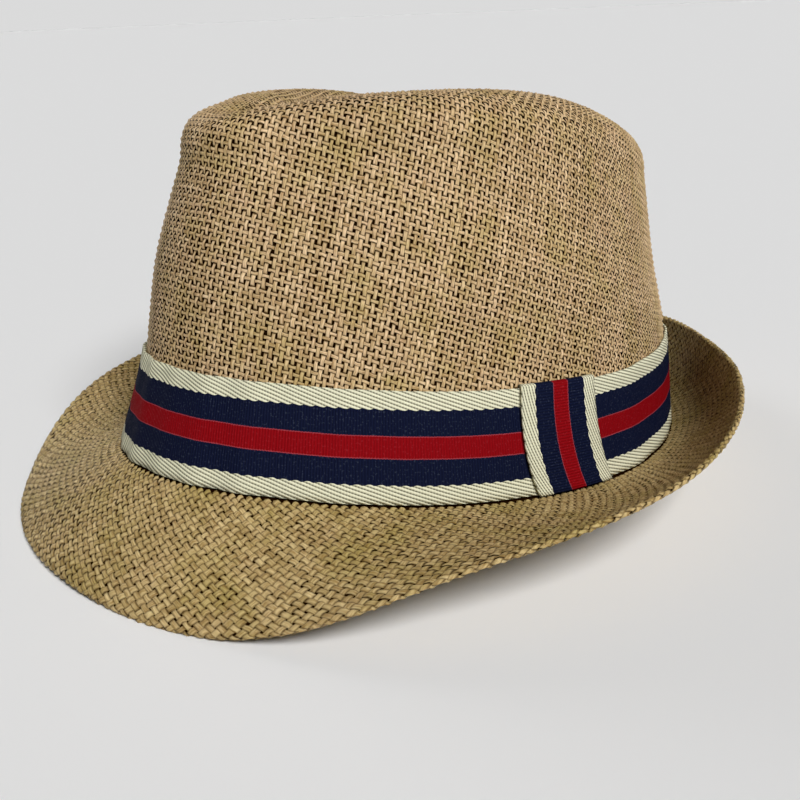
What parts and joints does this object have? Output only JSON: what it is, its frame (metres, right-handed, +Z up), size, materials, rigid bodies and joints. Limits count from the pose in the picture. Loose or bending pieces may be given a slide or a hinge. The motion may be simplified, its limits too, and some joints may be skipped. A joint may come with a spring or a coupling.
{
  "type": "straw fedora",
  "caption": "Short-brimmed straw hat with a dented, front-pinched crown, a brim turned down in front and up behind, and a striped grosgrain ribbon with a keeper tab.",
  "frame": {"origin": "on the floor under the middle of the hat's bounding box, with the hat standing as it comes to rest by itself", "axes": "+Z up, -Y towards the front of the hat, +X towards the wearer's left"},
  "size_m": [0.2406, 0.2616, 0.1266],
  "materials": {
    "straw": "matte plain-woven paper straw",
    "ribbon": "matte grosgrain with navy, red and cream stripes"
  },
  "bodies": {
    "root": {"crown": "straw", "brim": "straw", "ribbon_band": "ribbon", "ribbon_tab": "ribbon"}
  },
  "joints": []
}
